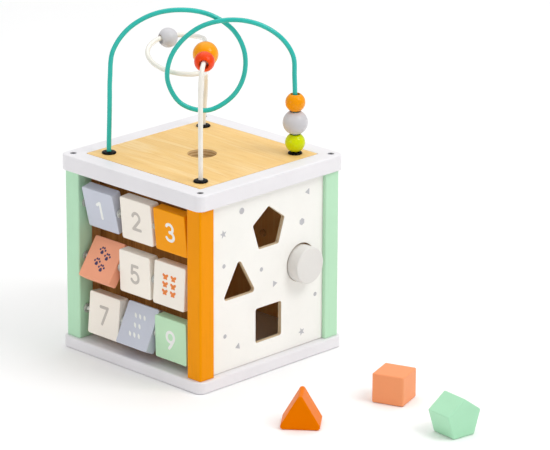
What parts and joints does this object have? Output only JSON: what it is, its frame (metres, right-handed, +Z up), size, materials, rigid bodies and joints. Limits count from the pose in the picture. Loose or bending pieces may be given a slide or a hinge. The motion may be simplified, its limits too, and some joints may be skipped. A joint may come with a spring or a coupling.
{
  "type": "shape sorter",
  "caption": "Painted wooden cube with shaped holes and matching blocks, spinning number tiles, a clock face and a lift-off lid with bead wires.",
  "frame": {"origin": "middle of the base plate's flat underside", "axes": "+Z up, +X out of the sorting face, -Y out of the number tiles, +Y out of the clock face"},
  "size_m": [0.4532, 0.2067, 0.3511],
  "materials": {
    "white_paint": "satin painted hardwood, faintly lilac white",
    "mint_paint": "satin painted hardwood, mint",
    "orange_paint": "satin painted hardwood, orange",
    "panel_paint": "satin white painted plywood with small pale grey prints",
    "plywood": "clear-coated plywood, straight pale grain",
    "wall_wood": "bare plywood, in shade",
    "black_plastic": "glossy black",
    "dark_steel": "blackened screw steel",
    "rod_paint": "white painted steel rod",
    "spacer_plastic": "milky washer",
    "teal_paint": "gloss teal coated steel wire",
    "white_wire_paint": "gloss white coated steel wire",
    "bead_lime": "gloss painted lime",
    "bead_grey": "gloss painted light grey",
    "bead_orange": "gloss painted orange",
    "bead_amber": "gloss painted amber",
    "bead_red": "gloss painted red orange",
    "tile_blue": "satin painted blue grey, white print",
    "tile_white": "satin painted warm white, light grey print",
    "tile_orange": "satin painted orange, white print",
    "tile_coral": "satin painted coral, dark print",
    "tile_mint": "satin painted mint, white print",
    "block_orange": "satin painted orange",
    "block_coral": "satin painted coral",
    "block_mint": "satin painted mint",
    "block_grey": "satin painted light grey"
  },
  "bodies": {
    "root": {"base_plate": "white_paint", "top_frame": "white_paint", "post_front_left": "mint_paint", "post_back_right": "mint_paint", "post_front_right": "orange_paint", "post_back_left": "orange_paint", "sorter_panel": "panel_paint", "left_panel": "panel_paint", "clock_panel": "panel_paint", "inner_wall": "wall_wood", "clock_pin": "dark_steel", "frame_screw_1": "dark_steel", "frame_screw_2": "dark_steel", "frame_screw_3": "dark_steel", "frame_screw_4": "dark_steel", "rod_1": "rod_paint", "rod_2": "rod_paint", "rod_3": "rod_paint", "spacer_1_1": "spacer_plastic", "spacer_1_2": "spacer_plastic", "spacer_1_3": "spacer_plastic", "spacer_1_4": "spacer_plastic", "spacer_2_1": "spacer_plastic", "spacer_2_2": "spacer_plastic", "spacer_2_3": "spacer_plastic", "spacer_2_4": "spacer_plastic", "spacer_3_1": "spacer_plastic", "spacer_3_2": "spacer_plastic", "spacer_3_3": "spacer_plastic", "spacer_3_4": "spacer_plastic"},
    "lid": {"lid_panel": "plywood", "teal_wire": "teal_paint", "white_wire": "white_wire_paint", "grommet_1": "black_plastic", "grommet_2": "black_plastic", "grommet_3": "black_plastic", "grommet_4": "black_plastic"},
    "bead_lime": {"bead_lime": "bead_lime"},
    "bead_grey": {"bead_grey": "bead_grey"},
    "bead_orange": {"bead_orange": "bead_orange"},
    "bead_red": {"bead_red": "bead_red"},
    "bead_amber": {"bead_amber": "bead_amber"},
    "bead_ring": {"bead_ring": "bead_grey"},
    "hour_hand": {"hour_hand": "orange_paint"},
    "minute_hand": {"minute_hand": "mint_paint"},
    "round_block": {"round_block": "block_grey"},
    "triangle_block": {"triangle_block": "block_orange"},
    "square_block": {"square_block": "block_coral"},
    "pentagon_block": {"pentagon_block": "block_mint"},
    "tile_1": {"tile_1": "tile_blue"},
    "tile_2": {"tile_2": "tile_white"},
    "tile_3": {"tile_3": "tile_orange"},
    "tile_4": {"tile_4": "tile_coral"},
    "tile_5": {"tile_5": "tile_white"},
    "tile_6": {"tile_6": "tile_white"},
    "tile_7": {"tile_7": "tile_white"},
    "tile_8": {"tile_8": "tile_blue"},
    "tile_9": {"tile_9": "tile_mint"}
  },
  "joints": [
    {"name": "lid_lift", "type": "slide", "parent": "root", "child": "lid", "axis": [0, 0, 1], "range_m": [0, 0.06]},
    {"name": "bead_orange_slide", "type": "slide", "parent": "lid", "child": "bead_orange", "axis": [0, 0, 1], "range_m": [0, 0.03]},
    {"name": "bead_grey_slide", "type": "slide", "parent": "lid", "child": "bead_grey", "axis": [0, 0, 1], "range_m": [0, 0.02]},
    {"name": "bead_lime_slide", "type": "slide", "parent": "lid", "child": "bead_lime", "axis": [0, 0, 1], "range_m": [0, 0.01]},
    {"name": "bead_amber_slide", "type": "slide", "parent": "lid", "child": "bead_amber", "axis": [-0.7058, 0.7058, -0.0599], "range_m": [0, 0.02]},
    {"name": "bead_red_slide", "type": "slide", "parent": "lid", "child": "bead_red", "axis": [-0.6588, 0.7429, 0.1189], "range_m": [0, 0.01]},
    {"name": "bead_ring_swing", "type": "hinge", "parent": "lid", "child": "bead_ring", "pos_m": [-0.04126, 0.01672, 0.2923], "axis": [0.2361, -0.141, 0.9615], "range_deg": [-10, 110]},
    {"name": "tile_1_spin", "type": "hinge", "parent": "root", "child": "tile_1", "pos_m": [-0.049, -0.0865, 0.154], "axis": [1, 0, 0], "continuous": true},
    {"name": "tile_2_spin", "type": "hinge", "parent": "root", "child": "tile_2", "pos_m": [0.0028, -0.0865, 0.154], "axis": [1, 0, 0], "continuous": true},
    {"name": "tile_3_spin", "type": "hinge", "parent": "root", "child": "tile_3", "pos_m": [0.0504, -0.0865, 0.154], "axis": [1, 0, 0], "continuous": true},
    {"name": "tile_4_spin", "type": "hinge", "parent": "root", "child": "tile_4", "pos_m": [-0.0484, -0.0865, 0.0983], "axis": [1, 0, 0], "continuous": true},
    {"name": "tile_5_spin", "type": "hinge", "parent": "root", "child": "tile_5", "pos_m": [0, -0.0865, 0.0983], "axis": [1, 0, 0], "continuous": true},
    {"name": "tile_6_spin", "type": "hinge", "parent": "root", "child": "tile_6", "pos_m": [0.0487, -0.0865, 0.0983], "axis": [1, 0, 0], "continuous": true},
    {"name": "tile_7_spin", "type": "hinge", "parent": "root", "child": "tile_7", "pos_m": [-0.0456, -0.0865, 0.0426], "axis": [1, 0, 0], "continuous": true},
    {"name": "tile_8_spin", "type": "hinge", "parent": "root", "child": "tile_8", "pos_m": [0.0025, -0.0865, 0.0426], "axis": [1, 0, 0], "continuous": true},
    {"name": "tile_9_spin", "type": "hinge", "parent": "root", "child": "tile_9", "pos_m": [0.0503, -0.0865, 0.0426], "axis": [1, 0, 0], "continuous": true},
    {"name": "hour_hand_turn", "type": "hinge", "parent": "root", "child": "hour_hand", "pos_m": [0, 0.0934, 0.099], "axis": [0, 1, 0], "continuous": true},
    {"name": "minute_hand_turn", "type": "hinge", "parent": "root", "child": "minute_hand", "pos_m": [0, 0.0959, 0.099], "axis": [0, 1, 0], "continuous": true},
    {"name": "round_block_push", "type": "slide", "parent": "root", "child": "round_block", "axis": [1, 0, 0], "range_m": [-0.025, 0.025]},
    {"name": "triangle_block_lift", "type": "slide", "parent": "root", "child": "triangle_block", "axis": [0, 0, 1], "range_m": [0, 0.06]},
    {"name": "square_block_lift", "type": "slide", "parent": "root", "child": "square_block", "axis": [0, 0, 1], "range_m": [0, 0.06]},
    {"name": "pentagon_block_lift", "type": "slide", "parent": "root", "child": "pentagon_block", "axis": [0, 0, 1], "range_m": [0, 0.06]}
  ],
  "couplings": [
    {"joint": "bead_grey_slide", "follows": "bead_orange_slide", "ratio": 0.66},
    {"joint": "bead_lime_slide", "follows": "bead_orange_slide", "ratio": 0.33},
    {"joint": "bead_red_slide", "follows": "bead_amber_slide", "ratio": 0.5}
  ]
}
